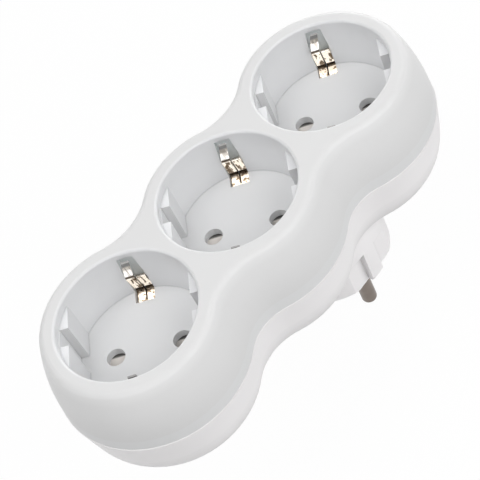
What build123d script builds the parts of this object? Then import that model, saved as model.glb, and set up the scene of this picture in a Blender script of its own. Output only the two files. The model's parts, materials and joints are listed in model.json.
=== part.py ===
from build123d import *
import os
from math import atan2, cos, degrees, radians, sin

# Sockets, in the frame of the plug: its pin face is z = 0, and the body lies along X
socket_pitch = 43.5
plug_offset = 21.7  # the plug's axis from the middle socket's
well_r = 19.75
well_depth = 17.5
mouth_round = 0.8
cup_t = 1.8  # wall of a well
floor_t = 2.5
clip_line = 45.0  # line of the earth clips from the body's length, in degrees

# Pins and their holes
pin_pitch = 19.0
pin_r = 2.4
pin_shank_r = 2.2  # inside the plug body
pin_length = 19.0
pin_tip = 1.2  # round of the tip
pin_fit = 0.05
hole_r = 2.7

# Outline of the housing, as distances from a socket's axis
seam_r = 28.2
face_r = 24.0
front_bulge = 0.915  # of the front wall out of the straight line from seam to face
rim_round = 2.2
blend_r = 14.8  # of the waist between two lobes, at the seam
seam_proud = 0.2  # of the rear shell over the front one
draft_in = 1.0  # of the drafted band's foot from the seam
draft_depth = 9.5  # of the rear shell's drafted band below the seam
rear_in = 7.2  # of the flat back from the seam
rear_soft = 0.5523  # fullness of the round between band and back, as in a quarter ellipse

# Heights
plug_height = 18.3
rear_height = 19.0
front_height = 21.0

# Shell walls
front_t = 2.0
top_t = 1.8
side_t = 2.4
back_t = 1.8
lip_t = 0.9  # of the front shell outside the tongue
tongue_height = 2.0
tongue_gap = 0.15

# Guides in a well
guide_flat = 17.0  # from the axis to the flat
guide_drop = 3.0  # below the mouth
groove_w = 5.5
groove_r = 19.4

# Plug body
plug_r = 18.8
plug_wall = 2.5
plug_root = 3.0  # of the plug's wall into the round of the waist
plug_face_t = 3.5
plug_flat = 16.6
plug_rib_w = 4.8
plug_flat_height = 11.5
plug_edge = 0.8
pin_tower_t = 1.8

# Bars, jaws and rivets
bar_t = 0.8
bar_w = 4.6
bar_end = 3.5  # of a bar past the last thing on it
pin_tab_r = 3.2
pin_neck_r = 1.6
pin_head_t = 0.8
jaw_t = 0.5
jaw_w = 5.0
jaw_root = 3.05  # of the leaves from the pin's axis
jaw_bite = 0.25  # of the leaves into the pin's room, before a pin spreads them
jaw_shoulder = 3.4  # heights over the bar
jaw_neck = 7.0
jaw_height = 10.0
jaw_bend = 0.6
jaw_rivet = 6.0  # from the pin's axis
rivet_r = 1.25
rivet_head_r = 2.1
rivet_head_t = 0.7
rivet_gap = 0.02

# Earth parts
earth_bar_w = 4.0
earth_lift = 2.1  # of the earth bar over the other bars
pedestal_l = 3.2
clip_t = 0.6
clip_w = 5.36
clip_foot = 16.2  # distances from the socket's axis
clip_heel = 20.9
clip_kink = 18.5
clip_top = 17.7
clip_foot_depth = 19.2  # depths below the mouth
clip_heel_depth = 18.9
clip_panel_depth = 10.1  # of the short finger's end
clip_kink_depth = 9.2
clip_top_depth = 2.2  # of the long finger's end
clip_bend = 0.9
clip_slit = 0.45  # between the two fingers
finger_out = 1.0  # edges of the long finger at its end, from the clip's middle
finger_in = -1.2
clip_room = 0.15  # beside the clip in its recess
clip_reach = 0.5  # before the clip's foot in the floor
recess_gap = 0.7  # behind the clip in its recess
recess_t = 1.0  # wall round the recess
recess_top_w = 4.44
recess_top_depth = 2.3
strap_t = 0.8
strap_w = 4.5
strap_sink = 0.1  # below the plug's round
strap_end = 1.0  # above the pin face
strap_fold = 8.0
strap_rivet = 5.5  # from the strap's outer face
strap_gap = 0.15

# Shutters
shutter_travel = 6.5
shutter_cover = 0.8  # past the edge of the pin hole
shutter_depth = 4.9
shutter_toe = 0.9
shutter_crest = 2.2  # behind the axis of the pin hole
shutter_back = 4.5
shutter_end = 3.8  # past the axis of the pin hole
shutter_bridge_l = 11.0  # the low bridge between the two ramps
shutter_bridge_t = 2.2
shutter_gap = 0.3
tray_t = 1.2
tray_hole_gap = 0.5
spring_t = 0.25
spring_w = 3.0
spring_span = 22.0
spring_gap = 0.05
spring_flat = 2.2  # room that is left for the spring at full travel
ear_r = 2.2
ear_t = 1.2
peg_r = 1.0
peg_gap = 0.05
peg_rivet_t = 0.6  # of a peg past the ear

# Screws
screw_r = 1.4
screw_gap = 0.1
thread_gap = 0.05  # round the screw where it bites
screw_head_r = 2.7
screw_head_t = 2.0
screw_grip = 8.0
screw_spare = 0.7  # of the hole past the screw
boss_t = 2.2  # wall round a screw in the front shell
post_t = 1.2  # wall round a head in the rear shell
post_height = 9.0  # over the back wall
head_sink = 4.0  # below the flat back
head_gap = 0.3
waist_screw_y = 13.8
end_screw_y = -14.0

os.makedirs("parts", exist_ok=True)

# Levels
back_z = plug_height
seam_z = back_z + rear_height
face_z = seam_z + front_height
floor_z = face_z - well_depth
under_z = floor_z - floor_t
inner_z = back_z + back_t
bar_top = inner_z + bar_t
earth_z = bar_top + earth_lift
earth_top = earth_z + bar_t
shutter_top = under_z - shutter_gap
shutter_low = shutter_top - shutter_depth
tray_top = shutter_low - shutter_gap
post_top = inner_z + post_height
head_z = back_z + head_sink

# Places
middle_x = -plug_offset
socket_xs = [middle_x - socket_pitch, middle_x, middle_x + socket_pitch]
waist_xs = [middle_x - socket_pitch / 2, middle_x + socket_pitch / 2]
pin_reach = pin_pitch / 2
pin_dx = pin_reach * sin(radians(clip_line))
pin_dy = pin_reach * cos(radians(clip_line))
blend_reach = seam_r + blend_r
blend_y = (blend_reach**2 - (socket_pitch / 2) ** 2) ** 0.5
blend_angle = degrees(atan2(blend_y, socket_pitch / 2))
cup_r = well_r + cup_t
draft_r = seam_r - draft_in
rear_r = seam_r - rear_in
recess_r = clip_heel + clip_t + recess_gap
waist_screws = [(waist_xs[0], waist_screw_y), (waist_xs[0], -waist_screw_y)]
end_screws = [(socket_xs[2], end_screw_y)]
screw_places = waist_screws + end_screws
strap_out = plug_r - strap_sink
shutter_front = hole_r + shutter_cover
shutter_half = pin_reach + shutter_end
tray_half = shutter_half + shutter_gap
tray_front = shutter_front + shutter_gap
tray_back = shutter_back + shutter_travel + spring_flat
ear_reach = tray_half + tray_t + peg_r
poles = [("live", 1), ("neutral", -1)]
slide_line = clip_line + 180  # the way from a shutter's crest to its toe


# A plane across a socket, with X along the line of its earth clips or in the given direction
def socket_plane(x, z, line=clip_line):
    turn = radians(line)
    return Plane((x, 0, z), x_dir=(cos(turn), sin(turn), 0), z_dir=(0, 0, 1))


# An upright plane through a vertical axis, with X in the given direction
def upright(x, y, angle):
    turn = radians(angle)
    return Plane((x, y, 0), x_dir=(cos(turn), sin(turn), 0), z_dir=(sin(turn), -cos(turn), 0))


def keep(piece, name):
    piece.part.label = name
    export_step(piece.part, f"parts/{name}.step")


# The filling between two lobes, hollowed on both sides by the wall turned about the blends
def waist(x, wall, low, high):
    hollow = Pos(blend_reach, 0, 0) * mirror(wall, about=Plane.YZ)
    ends = sorted([hollow @ 0, hollow @ 1], key=lambda point: point.Y)
    half = socket_pitch / 2
    with BuildPart() as filling:
        with BuildSketch(Plane.XY.offset(low)):
            with BuildLine():
                Polyline((x - half, 0), (x, blend_y), (x + half, 0), (x, -blend_y), close=True)
            make_face()
        extrude(amount=high - low)
        for y in (blend_y, -blend_y):
            with BuildSketch(upright(x, y, 0)):
                with BuildLine():
                    add(hollow)
                    Polyline(ends[0], (0, low), (0, high), ends[1])
                make_face()
            revolve(axis=Axis((x, y, 0), (0, 0, 1)), mode=Mode.SUBTRACT)
    return filling.part


# A body with a lobe round each socket, from a wall given as distance from the axis and height
def lobed(wall, low, high):
    waists = [waist(x, wall, low, high) for x in waist_xs]
    ends = sorted([wall @ 0, wall @ 1], key=lambda point: point.Y)
    end_arc = 360 - 2 * blend_angle
    mid_arc = 180 - 2 * blend_angle
    sectors = [
        (socket_xs[0], blend_angle, end_arc),
        (socket_xs[1], blend_angle, mid_arc),
        (socket_xs[1], blend_angle + 180, mid_arc),
        (socket_xs[2], blend_angle + 180, end_arc),
    ]
    with BuildPart() as body:
        for x, start, arc in sectors:
            with BuildSketch(upright(x, 0, start)):
                with BuildLine():
                    add(wall)
                    Polyline(ends[0], (0, low), (0, high), ends[1])
                make_face()
            revolve(axis=Axis((x, 0, 0), (0, 0, 1)), revolution_arc=arc)
        add(waists)
    return body.part


def lobed_column(r, low, high):
    with BuildLine() as wall:
        Line((r, low), (r, high))
    return lobed(wall.line, low, high)


# Front wall: one bulging arc from the seam to the face, then the round of the rim
front_arc = SagittaArc((seam_r, seam_z), (face_r, face_z), -front_bulge)
arc_centre = front_arc.arc_center


def inside_r(z):
    return arc_centre.X + ((front_arc.radius - front_t) ** 2 - (z - arc_centre.Y) ** 2) ** 0.5


with BuildLine() as rim:
    add(front_arc)
    Line((face_r, face_z), (well_r, face_z))
    fillet(rim.vertices().group_by(Axis.Y)[-1].sort_by(Axis.X)[-1], rim_round)
with BuildLine() as front_wall:
    add(rim.edges().filter_by(GeomType.CIRCLE))
with BuildLine() as front_inside:
    ThreePointArc(*[(inside_r(z), z) for z in (seam_z, floor_z, face_z - top_t)])


# Rear wall: a small bevel at the seam, a drafted band, and a full round to the flat back
def rear_line(inset, low, bevel):
    edge = (seam_r + seam_proud - inset, seam_z - bevel)
    turn = (draft_r - inset, seam_z - draft_depth)
    flat = (rear_r - inset / 2, low)
    lean = (edge[0] - turn[0]) / (edge[1] - turn[1])
    drop = rear_soft * (turn[1] - low)
    with BuildLine() as wall:
        if bevel:
            Line((seam_r - inset, seam_z), edge)
        Line(edge, turn)
        Bezier(
            turn,
            (turn[0] - lean * drop, turn[1] - drop),
            (flat[0] + rear_soft * (turn[0] - flat[0]), low),
            flat,
        )
    return wall.line


front_shell = lobed(front_wall.line, seam_z, face_z)
front_cavity = lobed(front_inside.line, seam_z, face_z - top_t)
rebate_r = seam_r - lip_t
rebate = lobed_column(rebate_r, seam_z, seam_z + tongue_height + tongue_gap)
rear_shell = lobed(rear_line(0, back_z, seam_proud), back_z, seam_z)
rear_cavity = lobed(rear_line(side_t, inner_z, 0), inner_z, seam_z)
tongue_outside = lobed_column(rebate_r - tongue_gap, seam_z - side_t / 2, seam_z + tongue_height)
tongue_inside = lobed_column(seam_r + seam_proud - side_t, seam_z - side_t / 2, seam_z + tongue_height)
with BuildPart() as tongue:
    add(tongue_outside)
    add(tongue_inside, mode=Mode.SUBTRACT)

# Front housing: the lobed shell with its wells, moulded in one
recess_w = clip_w + 2 * clip_room
slot_in = clip_foot - clip_reach
kink_z = face_z - clip_kink_depth
recess_top = face_z - recess_top_depth
with BuildPart() as front_housing:
    add(front_shell)
    add(front_cavity, mode=Mode.SUBTRACT)
    add(rebate, mode=Mode.SUBTRACT)
    with BuildSketch(Plane.XY.offset(under_z)):
        with Locations([(x, 0) for x in socket_xs]):
            Circle(cup_r)
            Rectangle(2 * (recess_r + recess_t), recess_w + 2 * recess_t, rotation=clip_line)
        with Locations([(x, 0) for x in waist_xs]):
            Rectangle(socket_pitch - 2 * well_r, 2 * cup_t)
    extrude(amount=face_z - top_t / 2 - under_z)
    with BuildSketch(Plane.XY.offset(floor_z)):
        with Locations([(x, 0) for x in socket_xs]):
            Circle(well_r)
    extrude(amount=well_depth, mode=Mode.SUBTRACT)
    mouths = front_housing.edges().filter_by(GeomType.CIRCLE).group_by(Axis.Z)[-1]
    fillet(mouths.filter_by(lambda edge: abs(edge.radius - well_r) < mouth_round), mouth_round)
    for x in socket_xs:
        with BuildSketch(socket_plane(x, floor_z)):
            Circle(well_r + cup_t / 2)
            Rectangle(2 * cup_r, 2 * guide_flat, mode=Mode.SUBTRACT)
            Rectangle(groove_w, 2 * groove_r, mode=Mode.SUBTRACT)
        extrude(amount=well_depth - guide_drop)
        with BuildSketch(socket_plane(x, under_z)):
            with Locations((0, pin_reach), (0, -pin_reach)):
                Circle(hole_r)
        extrude(amount=floor_t, mode=Mode.SUBTRACT)
        for side in (1, -1):
            with BuildSketch(socket_plane(x, under_z)):
                with Locations((side * (slot_in + recess_r) / 2, 0)):
                    Rectangle(recess_r - slot_in, recess_w)
            extrude(amount=floor_t, mode=Mode.SUBTRACT)
        with BuildSketch(upright(x, 0, clip_line + 90)):
            with BuildLine():
                Polyline(
                    (-recess_w / 2, floor_z),
                    (-recess_w / 2, kink_z),
                    (-recess_top_w / 2, recess_top),
                    (recess_top_w / 2, recess_top),
                    (recess_w / 2, kink_z),
                    (recess_w / 2, floor_z),
                    close=True,
                )
            make_face()
        extrude(amount=recess_r, both=True, mode=Mode.SUBTRACT)
        with BuildSketch(socket_plane(x, under_z, slide_line)):
            with Locations((-shutter_back, ear_reach), (-shutter_back, -ear_reach)):
                Circle(peg_r)
        extrude(amount=-ear_t - peg_rivet_t)
    for places, top in ((waist_screws, face_z - top_t / 2), (end_screws, under_z + floor_t / 2)):
        with BuildSketch(Plane.XY.offset(post_top)):
            with Locations(places):
                Circle(screw_r + boss_t)
        extrude(amount=top - post_top)
    with BuildSketch(Plane.XY.offset(post_top)):
        with Locations(screw_places):
            Circle(screw_r + thread_gap)
    extrude(amount=screw_grip + screw_spare, mode=Mode.SUBTRACT)
keep(front_housing, "front_housing")

# Rear housing: the other shell, with the hollow plug body
with BuildPart() as rear_housing:
    add(rear_shell)
    with BuildSketch(Plane.XY):
        Circle(plug_r)
    extrude(amount=back_z + plug_root)
    add(rear_cavity, mode=Mode.SUBTRACT)
    add(tongue.part)
    with BuildSketch(Plane.XY.offset(plug_face_t)):
        Circle(plug_r - plug_wall)
        with Locations((0, pin_reach), (0, -pin_reach)):
            Circle(pin_shank_r + pin_fit + pin_tower_t, mode=Mode.SUBTRACT)
    extrude(amount=inner_z - plug_face_t, mode=Mode.SUBTRACT)
    with BuildSketch(Plane.XY.offset(back_z)):
        with Locations((0, pin_reach), (0, -pin_reach)):
            Circle(pin_shank_r + pin_fit + pin_tower_t + pin_fit)
    extrude(amount=back_t, mode=Mode.SUBTRACT)
    chamfer(rear_housing.faces().sort_by(Axis.Z)[0].edges(), plug_edge)
    flat_rise = plug_r - plug_flat
    for side in (1, -1):
        for rib_side in (1, -1):
            with BuildSketch(Plane.YZ.offset(rib_side * plug_rib_w / 2)):
                with BuildLine():
                    Polyline(
                        (side * plug_flat, 0),
                        (side * plug_flat, plug_flat_height),
                        (side * (plug_r + flat_rise), plug_flat_height + 2 * flat_rise),
                        (side * (plug_r + flat_rise), 0),
                        close=True,
                    )
                make_face()
            extrude(amount=rib_side * plug_r, mode=Mode.SUBTRACT)
    with BuildSketch(Plane.XY):
        with Locations((0, pin_reach), (0, -pin_reach)):
            Circle(pin_shank_r + pin_fit)
    extrude(amount=inner_z, mode=Mode.SUBTRACT)
    with BuildSketch(Plane.XY.offset(strap_end - strap_gap)):
        for side in (1, -1):
            with Locations((side * (strap_out - strap_t / 2), 0)):
                Rectangle(strap_t + 2 * strap_gap, strap_w + 2 * strap_gap)
    extrude(amount=inner_z - strap_end + strap_gap, mode=Mode.SUBTRACT)
    with BuildSketch(Plane.XY.offset(back_z + back_t / 2)):
        with Locations((socket_xs[0], 0), (waist_xs[0], 0)):
            Rectangle(pedestal_l, earth_bar_w)
    extrude(amount=earth_z - back_z - back_t / 2)
    with BuildSketch(Plane.XY.offset(back_z + back_t / 2)):
        with Locations(screw_places):
            Circle(screw_head_r + head_gap + post_t)
    extrude(amount=post_top - back_z - back_t / 2)
    with BuildSketch(Plane.XY):
        with Locations(screw_places):
            Circle(screw_head_r + head_gap)
    extrude(amount=head_z + screw_head_t, mode=Mode.SUBTRACT)
    with BuildSketch(Plane.XY):
        with Locations(screw_places):
            Circle(screw_r + screw_gap)
    extrude(amount=post_top, mode=Mode.SUBTRACT)
keep(rear_housing, "rear_housing")

# Plug pins, shouldered on the pin face and headed over through the bars
for pole, side in poles:
    with BuildPart() as pin:
        with BuildSketch(upright(0, side * pin_reach, 0)):
            with BuildLine():
                Polyline(
                    (0, bar_top + pin_head_t),
                    (pin_r, bar_top + pin_head_t),
                    (pin_r, bar_top),
                    (pin_neck_r, bar_top),
                    (pin_neck_r, inner_z),
                    (pin_shank_r, inner_z),
                    (pin_shank_r, 0),
                    (pin_r, 0),
                    (pin_r, pin_tip - pin_length),
                )
                RadiusArc((pin_r, pin_tip - pin_length), (pin_r - pin_tip, -pin_length), pin_tip)
                Polyline((pin_r - pin_tip, -pin_length), (0, -pin_length), (0, bar_top + pin_head_t))
            make_face()
        revolve(axis=Axis((0, side * pin_reach, 0), (0, 0, 1)))
    keep(pin, f"{pole}_pin")

# Bars of the two poles, each with a tab at the plug's pin
for pole, side in poles:
    jaw_xs = [x - side * pin_dx for x in socket_xs]
    rivet_xs = [x + side * jaw_rivet for x in jaw_xs]
    low = min(jaw_xs + rivet_xs) - bar_end
    high = max(jaw_xs + rivet_xs) + bar_end
    with BuildPart() as bar:
        with BuildSketch(Plane.XY.offset(inner_z)):
            with Locations(((low + high) / 2, side * pin_dy)):
                Rectangle(high - low, bar_w)
            with Locations((0, side * (pin_dy + pin_reach) / 2)):
                Rectangle(2 * pin_tab_r, pin_reach - pin_dy)
            with Locations((0, side * pin_reach)):
                Circle(pin_tab_r)
                Circle(pin_neck_r + rivet_gap, mode=Mode.SUBTRACT)
            with Locations([(x, side * pin_dy) for x in rivet_xs]):
                Circle(rivet_r + rivet_gap, mode=Mode.SUBTRACT)
        extrude(amount=bar_t)
    keep(bar, f"{pole}_bar")

# Jaws: two sprung leaves folded up from a base that is riveted to the bar
jaw_floor = bar_top + jaw_t
jaw_line = [
    (jaw_root, bar_top + jaw_height),
    (pin_r - jaw_bite, bar_top + jaw_neck),
    (jaw_root, bar_top + jaw_shoulder),
    (jaw_root, jaw_floor),
]
for pole, side in poles:
    for number, socket_x in enumerate(socket_xs, 1):
        x = socket_x - side * pin_dx
        with BuildPart() as jaw:
            with BuildSketch(upright(x, side * pin_dy, 90)):
                with BuildLine():
                    left = [(-across, up) for across, up in jaw_line]
                    FilletPolyline(*left, *reversed(jaw_line), radius=jaw_bend)
                    offset(amount=jaw_t, side=Side.RIGHT)
                make_face()
            extrude(amount=jaw_w / 2, both=True)
            with BuildSketch(Plane.XY.offset(bar_top)):
                with Locations((x + side * (jaw_w / 2 + jaw_rivet) / 2, side * pin_dy)):
                    Rectangle(jaw_w / 2 + jaw_rivet, bar_w)
                with Locations((x + side * jaw_rivet, side * pin_dy)):
                    Circle(bar_w / 2)
                    Circle(rivet_r + rivet_gap, mode=Mode.SUBTRACT)
            extrude(amount=jaw_t)
        keep(jaw, f"{pole}_jaw_{number}")

# Earth bar on its pedestals
low = socket_xs[0] - bar_end
high = socket_xs[2] + bar_end
strap_rivet_x = strap_out - strap_rivet
with BuildPart() as earth_bar:
    with BuildSketch(Plane.XY.offset(earth_z)):
        with Locations(((low + high) / 2, 0)):
            Rectangle(high - low, earth_bar_w)
        with Locations([(x, 0) for x in socket_xs], (strap_rivet_x, 0), (-strap_rivet_x, 0)):
            Circle(rivet_r + rivet_gap, mode=Mode.SUBTRACT)
    extrude(amount=bar_t)
keep(earth_bar, "earth_bar")

# Earth brackets: one strip per socket, whose two ends are the clips in the well, slit into two fingers
bracket_z = earth_top + clip_t
panel_z = face_z - clip_panel_depth
finger_z = face_z - clip_top_depth
clip_path = [
    (clip_foot, bracket_z),
    (clip_foot, face_z - clip_foot_depth),
    (clip_heel, face_z - clip_heel_depth),
    (clip_kink, kink_z),
    (clip_top, finger_z),
]
for number, x in enumerate(socket_xs, 1):
    with BuildPart() as bracket:
        with BuildSketch(upright(x, 0, clip_line)):
            with BuildLine():
                left = [(-along, up) for along, up in reversed(clip_path)]
                FilletPolyline(*left, *clip_path, radius=clip_bend)
                offset(amount=clip_t, side=Side.RIGHT)
            make_face()
        extrude(amount=clip_w / 2, both=True)
        for side in (1, -1):
            with BuildSketch(upright(x, 0, clip_line + 90)):
                for edge, end in ((clip_w / 2, finger_out), (clip_slit / 2, finger_in)):
                    clear = clip_w if end > 0 else -clip_w
                    with BuildLine():
                        Polyline(
                            (side * edge, panel_z),
                            (side * end, finger_z),
                            (side * end, face_z),
                            (side * clear, face_z),
                            (side * clear, panel_z),
                            close=True,
                        )
                    make_face()
            extrude(amount=side * recess_r, mode=Mode.SUBTRACT)
        with BuildSketch(socket_plane(x, under_z)):
            for side in (1, -1):
                with Locations((side * (clip_foot + 2 * clip_t + recess_r) / 2, 0)):
                    Rectangle(recess_r - clip_foot - 2 * clip_t, clip_slit)
        extrude(amount=panel_z - under_z, mode=Mode.SUBTRACT)
        with BuildSketch(Plane.XY.offset(earth_top)):
            with Locations((x, 0)):
                Circle(rivet_r + rivet_gap)
        extrude(amount=clip_t, mode=Mode.SUBTRACT)
    keep(bracket, f"earth_bracket_{number}")

# Straps in the plug's sides, folded in under the earth bar
for name, side in (("right", 1), ("left", -1)):
    with BuildPart() as strap:
        with BuildSketch(Plane.XZ):
            with BuildLine():
                FilletPolyline(
                    (side * strap_out, strap_end),
                    (side * strap_out, earth_z),
                    (side * (strap_out - strap_fold), earth_z),
                    radius=2 * strap_t,
                )
                offset(amount=strap_t, side=Side.LEFT if side > 0 else Side.RIGHT)
            make_face()
        extrude(amount=strap_w / 2, both=True)
        with BuildSketch(Plane.XY.offset(earth_z)):
            with Locations((side * strap_rivet_x, 0)):
                Circle(rivet_r + rivet_gap)
        extrude(amount=-strap_t, mode=Mode.SUBTRACT)
    keep(strap, f"plug_earth_strap_{name}")

# Rivets, flush below and headed above
jaw_rivets = [
    (x - side * pin_dx + side * jaw_rivet, side * pin_dy, inner_z, jaw_floor)
    for pole, side in poles
    for x in socket_xs
]
bracket_rivets = [(x, 0, earth_z, bracket_z) for x in socket_xs]
strap_rivets = [(side * strap_rivet_x, 0, earth_z - strap_t, earth_top) for side in (1, -1)]
with BuildPart() as contact_rivets:
    for x, y, foot, top in jaw_rivets + bracket_rivets + strap_rivets:
        with BuildSketch(Plane.XY.offset(foot)):
            with Locations((x, y)):
                Circle(rivet_r)
        extrude(amount=top - foot)
        with BuildSketch(Plane.XY.offset(top)):
            with Locations((x, y)):
                Circle(rivet_head_r)
        extrude(amount=rivet_head_t)
keep(contact_rivets, "contact_rivets")

# Shutters: a bar under each pair of holes, with a ramp below each hole
for number, x in enumerate(socket_xs, 1):
    with BuildPart() as shutter:
        with BuildSketch(upright(x, 0, slide_line)):
            with BuildLine():
                Polyline(
                    (-shutter_back, shutter_low),
                    (shutter_front, shutter_low),
                    (shutter_front, shutter_low + shutter_toe),
                    (-shutter_crest, shutter_top),
                    (-shutter_back, shutter_top),
                    close=True,
                )
            make_face()
        extrude(amount=shutter_half, both=True)
        with BuildSketch(socket_plane(x, shutter_low + shutter_bridge_t, slide_line)):
            Rectangle(4 * shutter_back, shutter_bridge_l)
        extrude(amount=shutter_depth, mode=Mode.SUBTRACT)
    keep(shutter, f"shutter_{number}")

    with BuildPart() as spring:
        seat = tray_back - spring_gap
        push = shutter_back + spring_gap
        half = spring_span / 2
        with BuildSketch(socket_plane(x, (shutter_low + shutter_top - spring_w) / 2, slide_line)):
            with BuildLine():
                outer = ThreePointArc((-seat, -half), (-push, 0), (-seat, half))
                inner = ThreePointArc((-seat, spring_t - half), (-push - spring_t, 0), (-seat, half - spring_t))
                Line(outer @ 0, inner @ 0)
                Line(outer @ 1, inner @ 1)
            make_face()
        extrude(amount=spring_w)
    keep(spring, f"shutter_spring_{number}")

    with BuildPart() as tray:
        with BuildSketch(socket_plane(x, tray_top - tray_t, slide_line)):
            with Locations(((tray_front - tray_back) / 2, 0)):
                Rectangle(tray_front + tray_back + 2 * tray_t, 2 * (tray_half + tray_t))
        extrude(amount=under_z - tray_top + tray_t)
        with BuildSketch(socket_plane(x, tray_top, slide_line)):
            with Locations(((tray_front - tray_back) / 2, 0)):
                Rectangle(tray_front + tray_back, 2 * tray_half)
        extrude(amount=under_z - tray_top, mode=Mode.SUBTRACT)
        with BuildSketch(socket_plane(x, under_z, slide_line)):
            for side in (1, -1):
                with Locations((-shutter_back, side * ear_reach)):
                    Circle(ear_r)
            Rectangle(4 * tray_back, 2 * tray_half + tray_t, mode=Mode.SUBTRACT)
            with Locations((-shutter_back, ear_reach), (-shutter_back, -ear_reach)):
                Circle(peg_r + peg_gap, mode=Mode.SUBTRACT)
        extrude(amount=-ear_t)
        with BuildSketch(socket_plane(x, tray_top - tray_t, slide_line)):
            with Locations((0, pin_reach), (0, -pin_reach)):
                Circle(hole_r + tray_hole_gap)
        extrude(amount=tray_t, mode=Mode.SUBTRACT)
    keep(tray, f"shutter_tray_{number}")

# Screws, driven from the back
with BuildPart() as housing_screws:
    with BuildSketch(Plane.XY.offset(head_z)):
        with Locations(screw_places):
            Circle(screw_head_r)
    extrude(amount=screw_head_t)
    with BuildSketch(Plane.XY.offset(head_z + screw_head_t)):
        with Locations(screw_places):
            Circle(screw_r)
    extrude(amount=post_top + screw_grip - head_z - screw_head_t)
keep(housing_screws, "housing_screws")
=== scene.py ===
import bpy
import bmesh
import json
import math
from mathutils import Matrix, Vector


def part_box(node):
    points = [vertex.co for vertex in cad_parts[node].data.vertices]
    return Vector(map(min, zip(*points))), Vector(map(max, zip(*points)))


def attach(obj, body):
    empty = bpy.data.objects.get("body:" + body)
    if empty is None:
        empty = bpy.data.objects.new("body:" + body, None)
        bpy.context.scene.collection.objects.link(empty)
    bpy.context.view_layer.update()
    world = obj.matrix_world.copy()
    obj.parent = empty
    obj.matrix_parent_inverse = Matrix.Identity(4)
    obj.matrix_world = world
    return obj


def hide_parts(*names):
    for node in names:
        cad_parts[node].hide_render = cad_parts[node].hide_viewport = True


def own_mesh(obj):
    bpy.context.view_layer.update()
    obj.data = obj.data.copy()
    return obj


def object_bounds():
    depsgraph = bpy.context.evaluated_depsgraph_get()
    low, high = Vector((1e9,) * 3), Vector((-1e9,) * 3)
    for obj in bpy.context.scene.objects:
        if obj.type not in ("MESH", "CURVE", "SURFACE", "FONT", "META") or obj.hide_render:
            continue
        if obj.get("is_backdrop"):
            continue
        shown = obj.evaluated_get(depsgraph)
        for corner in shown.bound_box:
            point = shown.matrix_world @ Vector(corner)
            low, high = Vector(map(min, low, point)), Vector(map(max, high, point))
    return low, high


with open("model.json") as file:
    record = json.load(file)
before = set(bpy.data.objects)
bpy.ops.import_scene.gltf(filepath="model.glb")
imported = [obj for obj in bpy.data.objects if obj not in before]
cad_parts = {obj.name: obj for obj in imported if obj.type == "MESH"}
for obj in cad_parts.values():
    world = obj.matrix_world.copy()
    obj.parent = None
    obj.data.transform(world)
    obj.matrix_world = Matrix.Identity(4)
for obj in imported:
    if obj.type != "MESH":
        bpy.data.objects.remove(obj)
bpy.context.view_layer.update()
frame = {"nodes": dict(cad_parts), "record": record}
nodes = frame["nodes"]
scene = bpy.context.scene
scene.view_settings.view_transform = "Standard"
mm = 0.001
print("frame:", len(nodes), "nodes")

# socket axes from the pin holes, and the level of the mouths
mounts = {mount["name"]: Vector(mount["pos_m"]) for mount in frame["record"]["mounts"]}
sockets = [(mounts[f"live_hole_{n}"] + mounts[f"neutral_hole_{n}"]) / 2 for n in (1, 2, 3)]
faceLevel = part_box("front_housing")[1].z
middle = Vector((sockets[1].x, 0, faceLevel))  # centre of the middle mouth
slide = Vector(frame["record"]["behaviour"]["joints"][0]["axis"])  # line of the clips and shutters


def rgb(red, green, blue):
    return (red, green, blue, 1)


# small helpers for node trees
def addNode(tree, kind, **fields):
    node = tree.nodes.new(kind)
    for key, value in fields.items():
        setattr(node, key, value)
    return node


def plug(tree, source, output, target, socket):
    tree.links.new(source.outputs[output], target.inputs[socket])


def newGroup(name, inputs, outputs):
    group = bpy.data.node_groups.new(name, "ShaderNodeTree")
    for label, kind, value in inputs:
        socket = group.interface.new_socket(label, in_out="INPUT", socket_type=kind)
        socket.default_value = value
    for label, kind in outputs:
        group.interface.new_socket(label, in_out="OUTPUT", socket_type=kind)
    return group, addNode(group, "NodeGroupInput"), addNode(group, "NodeGroupOutput")


# object coordinates, split into X, Y and Z
def splitPlace(tree):
    place = addNode(tree, "ShaderNodeTexCoord")
    split = addNode(tree, "ShaderNodeSeparateXYZ")
    plug(tree, place, "Object", split, 0)
    return split


def addNoise(tree, source, output, detail):
    noise = addNode(tree, "ShaderNodeTexNoise")
    noise.inputs["Detail"].default_value = detail
    plug(tree, source, output, noise, "Vector")
    return noise


# value that goes from 0 at start to top at end
def addRange(tree, source, output, start, end, top=1.0, **fields):
    span = addNode(tree, "ShaderNodeMapRange", **fields)
    span.inputs["From Min"].default_value = start
    span.inputs["From Max"].default_value = end
    span.inputs["To Max"].default_value = top
    plug(tree, source, output, span, "Value")
    return span


# mix of two colours: inputs 6 and 7, with the result at output 2
def addMix(tree, colour=None):
    mix = addNode(tree, "ShaderNodeMix", data_type="RGBA")
    if colour:
        mix.inputs[7].default_value = colour
    return mix


# ramp of colours over the depth below the mouths, in mm
def addDepthRamp(tree, stops, span):
    depth = addRange(tree, splitPlace(tree), "Z", faceLevel, faceLevel - span * mm)
    ramp = addNode(tree, "ShaderNodeValToRGB")
    steps = ramp.color_ramp.elements
    while len(steps) < len(stops):
        steps.new(0.5)
    for step, (level, colour) in zip(steps, stops):
        step.position = level / span
        step.color = colour
    plug(tree, depth, "Result", ramp, "Fac")
    return ramp


# outputs that every skin has
skinOutputs = [
    ("Colour", "NodeSocketColor"),
    ("Roughness", "NodeSocketFloat"),
    ("Height", "NodeSocketFloat"),
]


# roughness of a skin, between two inputs of its group
def addGloss(group, ins, outs, source, output, low, high):
    gloss = addNode(group, "ShaderNodeMapRange")
    plug(group, source, output, gloss, "Value")
    plug(group, ins, low, gloss, "To Min")
    plug(group, ins, high, gloss, "To Max")
    plug(group, gloss, "Result", outs, "Roughness")


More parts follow.
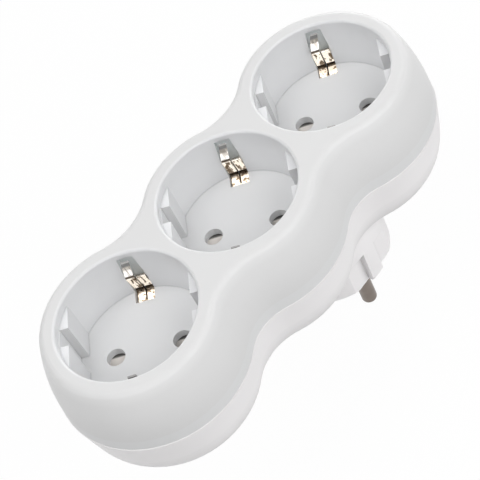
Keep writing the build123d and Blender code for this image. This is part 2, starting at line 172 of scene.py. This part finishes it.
# skin of a moulding: slow change of tone, fine spark-eroded grain, and painted shade in its
# creases
mouldPlan = {"flowDetail": 2.0, "grainDetail": 3.0, "grainRoughness": 0.6, "creaseSamples": 6}


def makeMouldedSkin(plan):
    group, ins, outs = newGroup(
        "mouldedSkin",
        [
            ("Colour", "NodeSocketColor", rgb(0.8, 0.8, 0.8)),
            ("Shade", "NodeSocketColor", rgb(0.78, 0.78, 0.78)),
            ("Smooth", "NodeSocketFloat", 0.3),
            ("Rough", "NodeSocketFloat", 0.4),
            ("Flow size", "NodeSocketFloat", 40.0),
            ("Grain size", "NodeSocketFloat", 3000.0),
            ("Crease", "NodeSocketFloat", 0.3),
            ("Crease width", "NodeSocketFloat", 0.6 * mm),
        ],
        skinOutputs,
    )
    place = addNode(group, "ShaderNodeTexCoord")
    flow = addNoise(group, place, "Object", plan["flowDetail"])
    plug(group, ins, "Flow size", flow, "Scale")
    grain = addNoise(group, place, "Object", plan["grainDetail"])
    grain.inputs["Roughness"].default_value = plan["grainRoughness"]
    plug(group, ins, "Grain size", grain, "Scale")
    tone = addMix(group)
    plug(group, flow, "Fac", tone, "Factor")
    plug(group, ins, "Colour", tone, 6)
    plug(group, ins, "Shade", tone, 7)
    # painted shade: the colour goes darker where ambient occlusion finds the surface closed in
    corner = addNode(group, "ShaderNodeAmbientOcclusion", samples=plan["creaseSamples"])
    plug(group, ins, "Crease width", corner, "Distance")
    closed = addNode(group, "ShaderNodeMath", operation="SUBTRACT")
    closed.inputs[0].default_value = 1.0
    plug(group, corner, "AO", closed, 1)
    amount = addNode(group, "ShaderNodeMath", operation="MULTIPLY")
    plug(group, closed, 0, amount, 0)
    plug(group, ins, "Crease", amount, 1)
    darker = addMix(group, rgb(0, 0, 0))
    plug(group, amount, 0, darker, "Factor")
    plug(group, tone, 2, darker, 6)
    plug(group, darker, 2, outs, "Colour")
    addGloss(group, ins, outs, grain, "Fac", "Smooth", "Rough")
    plug(group, grain, "Fac", outs, "Height")
    return group


# skin of a stamped strip or turned pin: draw lines along Z, and patches of dull plating
drawnPlan = {"lineRun": 0.06, "lineDetail": 2.0, "patchDetail": 3.0}


def makeDrawnMetal(plan):
    group, ins, outs = newGroup(
        "drawnMetal",
        [
            ("Bright", "NodeSocketColor", rgb(0.8, 0.8, 0.8)),
            ("Dull", "NodeSocketColor", rgb(0.6, 0.6, 0.6)),
            ("Smooth", "NodeSocketFloat", 0.15),
            ("Rough", "NodeSocketFloat", 0.35),
            ("Line size", "NodeSocketFloat", 2500.0),
            ("Patch size", "NodeSocketFloat", 250.0),
        ],
        skinOutputs,
    )
    place = addNode(group, "ShaderNodeTexCoord")
    stretch = addNode(group, "ShaderNodeMapping")
    stretch.inputs["Scale"].default_value = (1, 1, plan["lineRun"])
    plug(group, place, "Object", stretch, "Vector")
    lines = addNoise(group, stretch, "Vector", plan["lineDetail"])
    plug(group, ins, "Line size", lines, "Scale")
    patch = addNoise(group, place, "Object", plan["patchDetail"])
    plug(group, ins, "Patch size", patch, "Scale")
    tone = addMix(group)
    plug(group, patch, "Fac", tone, "Factor")
    plug(group, ins, "Bright", tone, 6)
    plug(group, ins, "Dull", tone, 7)
    plug(group, tone, 2, outs, "Colour")
    addGloss(group, ins, outs, patch, "Fac", "Smooth", "Rough")
    plug(group, lines, "Fac", outs, "Height")
    return group


# skin of an earth clip by its depth below the mouth, in painted reflections, highlights and shade:
# painted shade on the cut end, painted highlight on the finger, painted shade at the bend, painted
# reflection streaks on the panel and foot, painted shade in the crease
clipPlan = {
    "span": 20.0,  # mm of depth that the ramps cover
    "stops": [  # depth, painted colour, share of the painted reflection streaks
        (2.25, (0.33, 0.325, 0.32, 0)),
        (3.4, (0.30, 0.295, 0.29, 0)),
        (4.6, (0.85, 0.78, 0.70, 0.5)),
        (5.8, (1.0, 0.96, 0.90, 0.6)),
        (8.6, (1.0, 0.97, 0.93, 0.45)),
        (9.1, (0.13, 0.10, 0.08, 0.2)),
        (9.9, (0.25, 0.21, 0.17, 0.4)),
        (10.4, (1.0, 0.94, 0.85, 0.5)),
        (10.9, (1.0, 0.90, 0.77, 1)),
        (16.8, (1.0, 0.90, 0.77, 0.95)),
        (17.3, (0.11, 0.08, 0.06, 0.6)),
        (18.0, (0.14, 0.11, 0.08, 0.3)),
        (18.35, (0.56, 0.48, 0.39, 0.95)),
        (20.0, (0.56, 0.48, 0.39, 0.95)),
    ],
    "leans": [  # depth, how far the shading normal leans up, and back along the slide, to catch the lamps
        (4.4, 0, 0),
        (6.0, 0.55, 0),
        (8.6, 0.65, 0),
        (9.1, 0, 0),
        (10.5, 0.8, 0),
        (16.8, 0.8, 0),
        (17.4, 0, 0),
        (18.3, 0, 0.2),
        (20.0, 0, 0.2),
    ],
    "lean": 2.0,  # most lean, as a share of the normal
    # dark brown of the painted reflection streaks
    "streak": rgb(0.13, 0.09, 0.055),
    "streakSize": 1000.0,
    "streakRun": 0.16,  # stretch of the streaks along the strip
    "streakEdge": (0.48, 0.6),  # noise at which a streak begins and is full
    "detail": 2.0,
    "smooth": 0.2,  # where the streaks are full
    "rough": 0.5,  # where there are none
    "lineSize": 2500.0,
}


def makeClipPaintedReflections(plan):
    group, ins, outs = newGroup(
        "clipPaintedReflections",
        [
            ("Smooth", "NodeSocketFloat", plan["smooth"]),
            ("Rough", "NodeSocketFloat", plan["rough"]),
            ("Line size", "NodeSocketFloat", plan["lineSize"]),
        ],
        skinOutputs + [("Normal", "NodeSocketVector")],
    )
    place = addNode(group, "ShaderNodeTexCoord")
    ramp = addDepthRamp(group, plan["stops"], plan["span"])
    leans = [(level, (back, 0, up, 1)) for level, up, back in plan["leans"]]
    lean = addDepthRamp(group, leans, plan["span"])
    parts = addNode(group, "ShaderNodeSeparateColor")
    plug(group, lean, "Color", parts, 0)
    tilted, output = addNode(group, "ShaderNodeNewGeometry"), "Normal"
    for channel, way in (("Blue", Vector((0, 0, 1))), ("Red", -slide)):
        push = addNode(group, "ShaderNodeVectorMath", operation="SCALE")
        push.inputs[0].default_value = way * plan["lean"]
        plug(group, parts, channel, push, "Scale")
        moved = addNode(group, "ShaderNodeVectorMath", operation="ADD")
        plug(group, tilted, output, moved, 0)
        plug(group, push, 0, moved, 1)
        tilted, output = moved, 0
    unit = addNode(group, "ShaderNodeVectorMath", operation="NORMALIZE")
    plug(group, tilted, output, unit, 0)
    plug(group, unit, 0, outs, "Normal")
    stretch = addNode(group, "ShaderNodeMapping")
    stretch.inputs["Scale"].default_value = (1, 1, plan["streakRun"])
    plug(group, place, "Object", stretch, "Vector")
    noise = addNoise(group, stretch, "Vector", plan["detail"])
    noise.inputs["Scale"].default_value = plan["streakSize"]
    begin, full = plan["streakEdge"]
    sharp = addRange(group, noise, "Fac", begin, full, interpolation_type="SMOOTHSTEP")
    share = addNode(group, "ShaderNodeMath", operation="MULTIPLY")
    plug(group, sharp, "Result", share, 0)
    plug(group, ramp, "Alpha", share, 1)
    tone = addMix(group, plan["streak"])
    plug(group, share, 0, tone, "Factor")
    plug(group, ramp, "Color", tone, 6)
    plug(group, tone, 2, outs, "Colour")
    addGloss(group, ins, outs, ramp, "Alpha", "Rough", "Smooth")
    lines = addNoise(group, stretch, "Vector", plan["detail"])
    plug(group, ins, "Line size", lines, "Scale")
    plug(group, lines, "Fac", outs, "Height")
    return group


# masks for the painted light and shade of the front shell: inside of a well, its floor, the recess
# behind a clip, and the shaded side of a guide's groove
zonePlan = {
    "wall": 19.9 * mm,  # radius just outside a well's wall
    "rim": 20.6 * mm,  # radius where the outside begins
    "back": 22.6 * mm,  # radius behind the recesses
    "guide": 16.9 * mm,  # radius where the guides begin
    "recessTop": 2.2 * mm,  # depth below the mouth
    "floor": 17.45 * mm,  # depth just above a well's floor
    "groove": 2.75 * mm,  # from the socket's axis to the groove's side
    "grooveSlack": 0.04 * mm,
}


def makeFrontZones(plan):
    zones = ("Well", "Floor", "Recess", "Groove")
    group, ins, outs = newGroup("frontZones", [], [(zone, "NodeSocketFloat") for zone in zones])
    split = splitPlace(group)
    flat = addNode(group, "ShaderNodeCombineXYZ")
    plug(group, split, "X", flat, "X")
    plug(group, split, "Y", flat, "Y")
    radius = None  # distance from the nearest socket's axis
    for socket in sockets:
        away = addNode(group, "ShaderNodeVectorMath", operation="DISTANCE")
        away.inputs[1].default_value = (socket.x, socket.y, 0)
        plug(group, flat, 0, away, 0)
        if radius:
            least = addNode(group, "ShaderNodeMath", operation="MINIMUM")
            plug(group, *radius, least, 0)
            plug(group, away, "Value", least, 1)
            radius = (least, 0)
        else:
            radius = (away, "Value")

    def compare(source, operation, limit):
        test = addNode(group, "ShaderNodeMath", operation=operation)
        test.inputs[1].default_value = limit
        plug(group, *source, test, 0)
        return test

    def both(first, second):
        product = addNode(group, "ShaderNodeMath", operation="MULTIPLY")
        plug(group, first, 0, product, 0)
        plug(group, second, 0, product, 1)
        return product

    def between(inner, outer):
        return both(compare(radius, "GREATER_THAN", inner), compare(radius, "LESS_THAN", outer))

    well = addRange(group, *radius, plan["rim"], plan["wall"])
    plug(group, well, "Result", outs, "Well")
    height = (split, "Z")
    low = compare(height, "LESS_THAN", faceLevel - plan["floor"])
    plug(group, low, 0, outs, "Floor")
    under = compare(height, "LESS_THAN", faceLevel - plan["recessTop"])
    plug(group, both(between(plan["wall"], plan["back"]), under), 0, outs, "Recess")
    along = addNode(group, "ShaderNodeVectorMath", operation="DOT_PRODUCT")
    along.inputs[1].default_value = slide
    plug(group, flat, 0, along, 0)
    pitch = (sockets[1] - sockets[0]).dot(slide)
    first = sockets[0].dot(slide)
    turn = addNode(group, "ShaderNodeMath", operation="WRAP")
    turn.inputs[1].default_value = first + pitch / 2  # upper end
    turn.inputs[2].default_value = first - pitch / 2  # lower end
    plug(group, along, "Value", turn, 0)
    side = addNode(group, "ShaderNodeMath", operation="COMPARE")
    side.inputs[1].default_value = first + plan["groove"]
    side.inputs[2].default_value = plan["grooveSlack"]
    plug(group, turn, 0, side, 0)
    band = between(plan["guide"], plan["wall"])
    plug(group, both(both(side, band), under), 0, outs, "Groove")
    return group


mouldedSkin = makeMouldedSkin(mouldPlan)
drawnMetal = makeDrawnMetal(drawnPlan)
clipPaintedReflections = makeClipPaintedReflections(clipPlan)
frontZones = makeFrontZones(zonePlan)


def finishFrom(name, group, values, bump, fixed):
    material = bpy.data.materials.new(name)
    material.use_nodes = True
    tree = material.node_tree
    shader = tree.nodes["Principled BSDF"]
    for key, value in fixed.items():
        shader.inputs[key].default_value = value
    skin = addNode(tree, "ShaderNodeGroup", node_tree=group)
    for key, value in values.items():
        skin.inputs[key].default_value = value
    plug(tree, skin, "Colour", shader, "Base Color")
    plug(tree, skin, "Roughness", shader, "Roughness")
    lift = addNode(tree, "ShaderNodeBump")
    for key, value in bump.items():
        lift.inputs[key].default_value = value
    plug(tree, skin, "Height", lift, "Height")
    if "Normal" in skin.outputs:
        plug(tree, skin, "Normal", lift, "Normal")
    plug(tree, lift, "Normal", shader, "Normal")
    return material


# finishes, with the values of each skin; the front shell's colours come from frontTones
plastics = {
    "front_plastic": {"Smooth": 0.30, "Rough": 0.40},
    "rear_plastic": {
        "Colour": rgb(0.925, 0.91, 0.915),
        "Shade": rgb(0.91, 0.895, 0.90),
        "Smooth": 0.30,
        "Rough": 0.40,
        # painted shade in the creases, reaching wider on the rear shell
        "Crease": 0.45,
        "Crease width": 2.5 * mm,
    },
    "shutter_plastic": {
        # its own cream, raised towards full white as painted light against the shade in the pin
        # holes
        "Colour": rgb(1.0, 0.95, 0.90),
        "Shade": rgb(0.96, 0.91, 0.86),
        "Smooth": 0.35,
        "Rough": 0.5,
    },
    "tray_plastic": {
        "Colour": rgb(0.62, 0.62, 0.62),
        "Shade": rgb(0.58, 0.58, 0.58),
        "Smooth": 0.4,
        "Rough": 0.55,
    },
}
plasticBump = {"Strength": 0.06, "Distance": 0.02 * mm}
plasticShine = {"IOR": 1.5, "Specular IOR Level": 0.2}
metals = {
    "nickel": {
        "Bright": rgb(0.74, 0.69, 0.61),
        "Dull": rgb(0.52, 0.46, 0.38),
        "Smooth": 0.14,
        "Rough": 0.34,
    },
    "pin_nickel_painted_dark": {
        # nickel painted dark, as a stand-in for the dark reflections on the pins
        "Bright": rgb(0.26, 0.222, 0.194),
        "Dull": rgb(0.19, 0.162, 0.142),
        "Smooth": 0.28,
        "Rough": 0.40,
    },
    "brass": {
        "Bright": rgb(0.80, 0.60, 0.28),
        "Dull": rgb(0.66, 0.47, 0.20),
        "Smooth": 0.2,
        "Rough": 0.4,
    },
    "rivet_steel": {
        "Bright": rgb(0.62, 0.62, 0.62),
        "Dull": rgb(0.52, 0.52, 0.52),
        "Smooth": 0.25,
        "Rough": 0.45,
    },
    "screw_steel": {
        "Bright": rgb(0.60, 0.60, 0.62),
        "Dull": rgb(0.48, 0.48, 0.50),
        "Smooth": 0.25,
        "Rough": 0.45,
    },
    "spring_steel": {
        "Bright": rgb(0.55, 0.55, 0.58),
        "Dull": rgb(0.45, 0.45, 0.48),
        "Smooth": 0.2,
        "Rough": 0.35,
    },
}
metalBump = {"Strength": 0.15, "Distance": 0.02 * mm}
metalShine = {"Metallic": 1.0}
finishes = {}
for slot, values in plastics.items():
    finishes[slot] = finishFrom(slot, mouldedSkin, values, plasticBump, plasticShine)
for slot, values in metals.items():
    finishes[slot] = finishFrom(slot, drawnMetal, values, metalBump, metalShine)
finishes["clip_nickel_painted_reflections"] = finishFrom("clip_nickel_painted_reflections", clipPaintedReflections, {}, metalBump, metalShine)

# tones of the front shell, outside and in its wells by depth, and in the smaller zones, as painted
# light and shade
frontTones = {
    "span": 40.0,  # mm of depth that the ramps cover
    # painted highlight along the outer round of the mouths, then painted shade that deepens
    # towards the seam and below
    "outside": [
        (0, 0.752),
        (0.25, 0.777),
        (0.9, 0.85),
        (2.2, 0.835),
        (4, 0.80),
        (8, 0.785),
        (16, 0.735),
        (26, 0.70),
        (34, 0.675),
        (40, 0.66),
    ],
    # painted shade that deepens down the wells
    "Well": [(0, 0.865), (7, 0.857), (13, 0.812), (17.4, 0.742)],
    # a cool tint in the wells, as painted shade
    "tints": {"outside": (1, 1, 1.001), "Well": (0.994, 1, 1.013)},
    # painted shade on the floors of the wells
    "Floor": rgb(0.745, 0.749, 0.754),
    # painted light that lifts the recesses behind the clips, with a cool tint
    "Recess": rgb(0.88, 0.92, 0.93),
    # painted shade on the shaded side of a guide's groove
    "Groove": rgb(0.725, 0.725, 0.73),
    "flow": 0.03,  # share of grey in the slow change of tone
    "flowShade": rgb(0.3, 0.3, 0.3),
}


def toneFront(material, plan):
    tree = material.node_tree
    skin = next(node for node in tree.nodes if node.type == "GROUP")
    zones = addNode(tree, "ShaderNodeGroup", node_tree=frontZones)
    ramps = {}
    for zone, tint in plan["tints"].items():
        stops = [(level, rgb(*(tone * part for part in tint))) for level, tone in plan[zone]]
        ramps[zone] = addDepthRamp(tree, stops, plan["span"])
    last = addMix(tree)
    plug(tree, zones, "Well", last, "Factor")
    plug(tree, ramps["outside"], "Color", last, 6)
    plug(tree, ramps["Well"], "Color", last, 7)
    for zone in ("Floor", "Recess", "Groove"):
        mix = addMix(tree, plan[zone])
        plug(tree, zones, zone, mix, "Factor")
        plug(tree, last, 2, mix, 6)
        last = mix
    plug(tree, last, 2, skin, "Colour")
    shade = addMix(tree, plan["flowShade"])
    shade.inputs["Factor"].default_value = plan["flow"]
    plug(tree, last, 2, shade, 6)
    plug(tree, shade, 2, skin, "Shade")


toneFront(finishes["front_plastic"], frontTones)


# lays a tone over a finish's colour, as far as the mask says
def layTone(material, mask, colour):
    tree = material.node_tree
    target = tree.nodes["Principled BSDF"].inputs["Base Color"]
    mix = addMix(tree, colour)
    plug(tree, mask, "Result", mix, "Factor")
    tree.links.new(target.links[0].from_socket, mix.inputs[6])
    tree.links.new(mix.outputs[2], target)


# painted shade: the rear shell is darker where it looks down
underTones = {"from": 0.06, "to": 0.65, "amount": 0.55, "shade": rgb(0.3, 0.29, 0.295)}


def toneUnder(material, plan):
    tree = material.node_tree
    shape = addNode(tree, "ShaderNodeNewGeometry")
    split = addNode(tree, "ShaderNodeSeparateXYZ")
    plug(tree, shape, "Normal", split, 0)
    under = addRange(tree, split, "Z", -plan["from"], -plan["to"], plan["amount"])
    layTone(material, under, plan["shade"])


toneUnder(finishes["rear_plastic"], underTones)

# painted shadow: a shutter is dark along its crest, below the edge of the pin hole, where the
# floor above shades it
shutterTones = {"deep": 0.05 * mm, "clear": 0.3 * mm, "shade": rgb(0.12, 0.115, 0.11)}


def toneShutters(material, plan):
    tree = material.node_tree
    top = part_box("shutter_1")[1].z
    crest = addRange(tree, splitPlace(tree), "Z", top - plan["clear"], top - plan["deep"])
    layTone(material, crest, plan["shade"])


toneShutters(finishes["shutter_plastic"], shutterTones)

# pins and clips have a nickel of their own: painted dark reflections on the pins, painted
# reflections, highlights and shade on the clips
ownFinish = {"live_pin": "pin_nickel_painted_dark", "neutral_pin": "pin_nickel_painted_dark"}
ownFinish.update({f"earth_bracket_{n}": "clip_nickel_painted_reflections" for n in (1, 2, 3)})
for part in frame["record"]["subparts"]:
    node = nodes[part["node"]]
    slot = ownFinish.get(part["node"], part["material_slot"])
    node.data.materials.clear()
    node.data.materials.append(finishes[slot])
print("finishes:", len(finishes))

# how a new piece is welded and shaded
piecePlan = {"weld": 0.001 * mm, "sharpAngle": 35}


def addPiece(name, bm, node, finish, plan=piecePlan):
    bmesh.ops.remove_doubles(bm, verts=bm.verts, dist=plan["weld"])
    bmesh.ops.recalc_face_normals(bm, faces=bm.faces)
    mesh = bpy.data.meshes.new(name)
    bm.to_mesh(mesh)
    bm.free()
    for face in mesh.polygons:
        face.use_smooth = True
    piece = bpy.data.objects.new(name, mesh)
    scene.collection.objects.link(piece)
    mesh.materials.append(finishes[finish])
    mesh.set_sharp_from_angle(angle=math.radians(plan["sharpAngle"]))
    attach(piece, "housing")
    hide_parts(node)
    return piece


# leaf springs behind the shutters, built bowed as at rest; the real ones flatten as a shutter
# slides back
springPlan = {
    "ends": 13.15 * mm,  # from the socket's axis along the slide
    "crown": 4.55 * mm,  # the same, to the middle of the bow
    "half": 11.0 * mm,  # half its width across the slide
    "thick": 0.25 * mm,
    "edge": 0.06 * mm,  # round of its edges
    "corner": 1.2,  # angle in radians past which an edge is rounded
    "flat": 0.24,  # what is left of its bow at full travel
    "steps": 48,
}


def makeSpring(number, plan):
    node = f"shutter_spring_{number}"
    low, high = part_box(node)
    across = Vector((-slide.y, slide.x, 0))
    axis = Vector((sockets[number - 1].x, sockets[number - 1].y, 0))
    bow = plan["ends"] - plan["crown"]
    outer = (bow**2 + plan["half"] ** 2) / (2 * bow)  # radius of the bow
    inner = outer - plan["thick"]
    centre = axis + slide * (plan["crown"] + outer)
    swing = math.asin(plan["half"] / outer)
    away = (slide * -math.cos(swing) + across * math.sin(swing)).normalized()
    corners = [(inner, low.z), (outer, low.z), (outer, high.z), (inner, high.z)]
    bm = bmesh.new()
    points = [bm.verts.new(centre + away * out + Vector((0, 0, up))) for out, up in corners]
    bmesh.ops.spin(
        bm,
        geom=[bm.faces.new(points)],
        cent=centre,
        axis=(0, 0, 1),
        angle=2 * swing,
        steps=plan["steps"],
        use_duplicate=False,
    )
    rims = [edge for edge in bm.edges if len(edge.link_faces) == 1]
    bmesh.ops.holes_fill(bm, edges=rims, sides=4)
    folds = [edge for edge in bm.edges if len(edge.link_faces) == 2]
    bmesh.ops.bevel(
        bm,
        geom=[edge for edge in folds if edge.calc_face_angle() > plan["corner"]],
        offset=plan["edge"],
        offset_type="OFFSET",
        segments=2,
        profile=0.5,
        affect="EDGES",
        material=-1,
    )
    piece = addPiece(f"leafSpring{number}", bm, node, "spring_steel")
    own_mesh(piece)


for number in (1, 2, 3):
    makeSpring(number, springPlan)
print("springs: 3")

# screws with a rounded head and a cross recess, seen from the back
screwPlan = {
    "places": [(-21.75, 13.8), (-21.75, -13.8), (43.5, -14.0)],  # from the middle socket, in mm
    "headRadius": 2.7 * mm,
    "headHeight": 2.0 * mm,
    "shankRadius": 1.4 * mm,
    "crown": 0.5 * mm,  # round of the head's rim
    "crownStep": 15,  # degrees
    "tip": 0.4 * mm,  # chamfer of the tip
    "slotLength": 2.9 * mm,
    "slotWidth": 0.75 * mm,
    "slotDepth": 1.1 * mm,
    "slotTurn": 0.5,  # radians
    "steps": 40,
}


def makeScrews(plan):
    low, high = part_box("housing_screws")
    foot, collar, end = low.z, low.z + plan["headHeight"], high.z
    wide, thin, soft, tip = (plan[key] for key in ("headRadius", "shankRadius", "crown", "tip"))
    turns = [math.radians(degrees) for degrees in range(0, 91, plan["crownStep"])]
    rim = [(wide - soft + soft * math.sin(a), foot + soft - soft * math.cos(a)) for a in turns]
    shank = [(wide, collar), (thin, collar), (thin, end - tip), (thin - tip, end), (0, end)]
    profile = [(0, foot)] + rim + shank
    slotSize = Matrix.Diagonal((plan["slotLength"], plan["slotWidth"], 2 * plan["slotDepth"], 1))
    bm = bmesh.new()
    cutter = bmesh.new()
    for x, y in plan["places"]:
        base = Vector((sockets[1].x + x * mm, y * mm, 0))
        points = [bm.verts.new(base + Vector((out, 0, up))) for out, up in profile]
        edges = [bm.edges.new(pair) for pair in zip(points, points[1:])]
        bmesh.ops.spin(
            bm,
            geom=points + edges,
            cent=base,
            axis=(0, 0, 1),
            angle=math.tau,
            steps=plan["steps"],
            use_merge=True,
        )
        seat = Matrix.Translation(base + Vector((0, 0, foot)))
        for turn in (0, math.pi / 2):
            slot = bmesh.ops.create_cube(cutter, size=1.0)
            place = seat @ Matrix.Rotation(turn + plan["slotTurn"], 4, "Z") @ slotSize
            bmesh.ops.transform(cutter, matrix=place, verts=slot["verts"])
    piece = addPiece("crossScrews", bm, "housing_screws", "screw_steel")
    mesh = bpy.data.meshes.new("crossCut")
    cutter.to_mesh(mesh)
    cutter.free()
    tool = bpy.data.objects.new("crossCut", mesh)
    scene.collection.objects.link(tool)
    cut = piece.modifiers.new("recess", "BOOLEAN")
    cut.operation = "DIFFERENCE"
    cut.solver = "EXACT"
    cut.use_self = True
    cut.object = tool
    bpy.context.view_layer.update()
    shaped = piece.evaluated_get(bpy.context.evaluated_depsgraph_get())
    cutMesh = bpy.data.meshes.new_from_object(shaped)
    piece.modifiers.clear()
    piece.data = cutMesh
    bpy.data.objects.remove(tool)


makeScrews(screwPlan)
print("screws: 1 piece")


# rays that show a surface: straight to the camera, by gloss or through glass
def seenRays(tree):
    path = addNode(tree, "ShaderNodeLightPath")
    seen = addNode(tree, "ShaderNodeMath", operation="MAXIMUM")
    plug(tree, path, "Is Camera Ray", seen, 0)
    plug(tree, path, "Is Glossy Ray", seen, 1)
    also = addNode(tree, "ShaderNodeMath", operation="MAXIMUM")
    plug(tree, seen, 0, also, 0)
    plug(tree, path, "Is Transmission Ray", also, 1)
    return also


# floor, white to the camera, with the shadow kept
floorPlan = {"size": 3.0, "drop": 0.2 * mm, "colour": rgb(0.9, 0.9, 0.9), "glow": 0.97}


def makeFloor(plan):
    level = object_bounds()[0].z - plan["drop"]
    bm = bmesh.new()
    bmesh.ops.create_grid(bm, x_segments=1, y_segments=1, size=plan["size"])
    bmesh.ops.translate(bm, verts=bm.verts, vec=(0, 0, level))
    mesh = bpy.data.meshes.new("floor")
    bm.to_mesh(mesh)
    bm.free()
    floor = bpy.data.objects.new("floor", mesh)
    scene.collection.objects.link(floor)
    floor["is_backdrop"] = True
    material = bpy.data.materials.new("whiteSweep")
    material.use_nodes = True
    tree = material.node_tree
    tree.nodes.clear()
    paper = addNode(tree, "ShaderNodeBsdfDiffuse")
    paper.inputs["Color"].default_value = plan["colour"]
    glow = addNode(tree, "ShaderNodeEmission")
    share = addNode(tree, "ShaderNodeMath", operation="MULTIPLY")
    share.inputs[1].default_value = plan["glow"]
    plug(tree, seenRays(tree), 0, share, 0)
    mix = addNode(tree, "ShaderNodeMixShader")
    plug(tree, share, 0, mix, 0)
    plug(tree, paper, 0, mix, 1)
    plug(tree, glow, 0, mix, 2)
    out = addNode(tree, "ShaderNodeOutputMaterial")
    plug(tree, mix, 0, out, "Surface")
    mesh.materials.append(material)


makeFloor(floorPlan)

# world: dim room, white where it is seen
roomPlan = {"colour": rgb(1, 1, 1), "strength": 0.02}


def makeRoom(plan):
    world = bpy.data.worlds.new("room")
    scene.world = world
    world.use_nodes = True
    tree = world.node_tree
    tree.nodes.clear()
    light = addNode(tree, "ShaderNodeBackground")
    light.inputs["Color"].default_value = plan["colour"]
    light.inputs["Strength"].default_value = plan["strength"]
    white = addNode(tree, "ShaderNodeBackground")
    mix = addNode(tree, "ShaderNodeMixShader")
    plug(tree, seenRays(tree), 0, mix, 0)
    plug(tree, light, 0, mix, 1)
    plug(tree, white, 0, mix, 2)
    out = addNode(tree, "ShaderNodeOutputWorld")
    plug(tree, mix, 0, out, "Surface")


makeRoom(roomPlan)

# soft boxes round the object: azimuth from +X and elevation in degrees, and power
boxPlan = {
    "aim": middle - Vector((0, 0, 18 * mm)),
    "reach": 0.9,
    "side": 0.5,
    "lamps": {
        "farLowBox": (33, 16, 3.2),
        "farBox": (25, 45, 1.05),
        "backBox": (155, 45, 2.1),
        "topBox": (150, 76, 2.25),
        "nearRightBox": (300, 45, 1.85),
        "nearBox": (270, 45, 1.3),
        "nearLeftBox": (238, 45, 1.5),
        "nearLowBox": (286, 15, 0.95),
    },
}


def makeBoxes(plan):
    for name, (azimuth, elevation, power) in plan["lamps"].items():
        lamp = bpy.data.lights.new(name, "AREA")
        lamp.shape = "SQUARE"
        lamp.size = plan["side"]
        lamp.energy = power
        turn, rise = math.radians(azimuth), math.radians(elevation)
        flat = Vector((math.cos(turn), math.sin(turn), 0))
        away = flat * math.cos(rise) + Vector((0, 0, math.sin(rise)))
        box = bpy.data.objects.new(name, lamp)
        box.location = plan["aim"] + away * plan["reach"]
        box.rotation_euler = away.to_track_quat("Z", "Y").to_euler()
        scene.collection.objects.link(box)


makeBoxes(boxPlan)
print("stage: floor, room and", len(boxPlan["lamps"]), "boxes")

# camera at the photo's angle
cameraPlan = {
    "place": middle + Vector((-124.72, -221.20, 277.41)) * mm,
    "turn": (1.20768, 0.608025, 0.0, -0.793918),  # angle and axis
    "lens": 105.85,
    "sensor": 36.0,
    "nearest": 0.01,
}


def makeCamera(plan):
    eye = bpy.data.cameras.new("eye")
    eye.lens = plan["lens"]
    eye.sensor_width = plan["sensor"]
    eye.clip_start = plan["nearest"]
    viewer = bpy.data.objects.new("eye", eye)
    viewer.location = plan["place"]
    viewer.rotation_mode = "AXIS_ANGLE"
    viewer.rotation_axis_angle = plan["turn"]
    scene.collection.objects.link(viewer)
    scene.camera = viewer


makeCamera(cameraPlan)
print("camera set")
